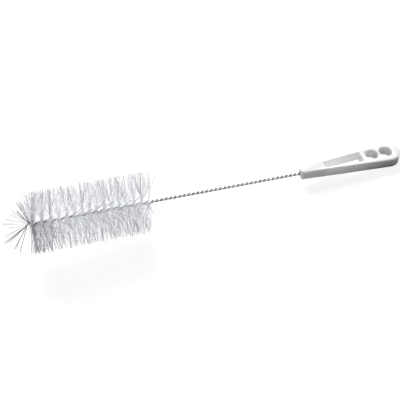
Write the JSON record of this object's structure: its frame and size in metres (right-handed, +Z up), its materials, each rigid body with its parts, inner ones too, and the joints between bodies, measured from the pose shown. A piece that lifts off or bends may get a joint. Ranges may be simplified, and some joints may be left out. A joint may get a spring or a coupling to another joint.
{
  "type": "bottle brush",
  "caption": "Twisted-wire bottle brush with a long cylindrical bristle head, a fanned bristle tip and a flat plastic handle with a finger slot and hanging holes.",
  "frame": {"origin": "middle of the brush's length, under its long axis, on the bench that it lies on", "axes": "+X along the brush towards the handle's round end, +Y across, +Z up from the bench"},
  "size_m": [0.4382, 0.0606, 0.0724],
  "materials": {
    "handle_plastic": "satin",
    "wire_steel": "bright zinc-plated",
    "bristle_nylon": "translucent white nylon"
  },
  "bodies": {
    "root": {"handle": "handle_plastic", "twisted_wire": "wire_steel", "tip_tuft": "bristle_nylon", "bristle_row_01": "bristle_nylon", "bristle_row_02": "bristle_nylon", "bristle_row_03": "bristle_nylon", "bristle_row_04": "bristle_nylon", "bristle_row_05": "bristle_nylon", "bristle_row_06": "bristle_nylon", "bristle_row_07": "bristle_nylon", "bristle_row_08": "bristle_nylon", "bristle_row_09": "bristle_nylon", "bristle_row_10": "bristle_nylon", "bristle_row_11": "bristle_nylon", "bristle_row_12": "bristle_nylon", "bristle_row_13": "bristle_nylon", "bristle_row_14": "bristle_nylon", "bristle_row_15": "bristle_nylon", "bristle_row_16": "bristle_nylon"}
  },
  "joints": []
}
